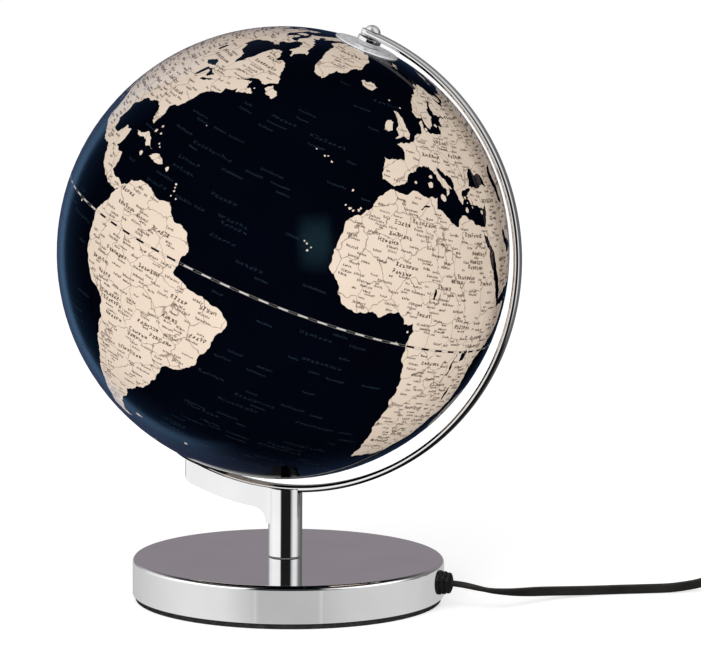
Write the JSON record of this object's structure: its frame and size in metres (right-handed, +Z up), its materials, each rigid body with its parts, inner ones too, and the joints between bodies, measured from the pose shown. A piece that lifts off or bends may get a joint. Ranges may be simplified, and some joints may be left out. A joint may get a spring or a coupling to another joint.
{
  "type": "desktop globe",
  "caption": "Desktop globe of the world with a lamp inside, tilted on a half-ring meridian, with a curved bracket arm, a pole on a round base and a mains cord.",
  "frame": {"origin": "centre of the base pad's underside, on the surface the globe stands on", "axes": "+Z up along the pole; +X in the plane of the meridian, towards the side where the north pole leans and the cord leaves the base"},
  "size_m": [0.5005, 0.3235, 0.32],
  "materials": {
    "chrome": "mirror-polished plating",
    "steel": "plain",
    "cast_iron": "rough",
    "brass": "plain",
    "black_foam": "matte",
    "black_rubber": "satin",
    "black_plastic": "satin",
    "globe_shell": "high gloss over a printed map",
    "dial": "satin silver-white",
    "white_plastic": "plain",
    "porcelain": "glazed",
    "bulb_glass": "clear",
    "cord": "satin vinyl"
  },
  "bodies": {
    "stand": {"base_pad": "black_foam", "base_plate": "steel", "base_cover": "chrome", "base_weight": "cast_iron", "tie_tube": "steel", "tie_washer": "steel", "tie_nut": "steel", "bracket_casting": "chrome", "meridian_arc": "chrome", "top_pin": "steel", "top_collar": "chrome", "top_cap_nut": "chrome", "south_collar": "chrome", "lamp_nipple": "brass", "lamp_nut": "brass", "lamp_holder": "porcelain", "bulb_cap": "brass", "bulb_glass": "bulb_glass", "lamp_wire": "white_plastic", "cord_gland": "black_rubber", "cord_lead": "cord", "cord_middle": "cord", "cord_tail": "cord", "cord_coil": "cord", "coil_tie": "black_plastic", "switch_lower": "black_plastic", "switch_upper": "black_plastic", "plug_body": "black_plastic", "plug_relief": "black_rubber", "plug_pin_left": "brass", "plug_pin_right": "brass"},
    "globe": {"north_hemisphere": "globe_shell", "south_hemisphere": "globe_shell", "equator_joint": "white_plastic", "north_bush": "black_plastic", "south_bush": "black_plastic"},
    "hour_dial": {"hour_dial": "dial"},
    "switch_rocker": {"switch_rocker": "black_plastic"}
  },
  "joints": [
    {"name": "globe_spin", "type": "hinge", "parent": "stand", "child": "globe", "pos_m": [-0.0039, 0, 0.1935], "axis": [0.3827, 0, 0.9239], "continuous": true},
    {"name": "hour_dial_spin", "type": "hinge", "parent": "stand", "child": "hour_dial", "pos_m": [0.04359, 0, 0.30815], "axis": [0.3827, 0, 0.9239], "continuous": true},
    {"name": "switch_rock", "type": "hinge", "parent": "stand", "child": "switch_rocker", "pos_m": [0.262, 0.104, 0.0124], "axis": [0, 1, 0], "range_deg": [0, 16]}
  ]
}
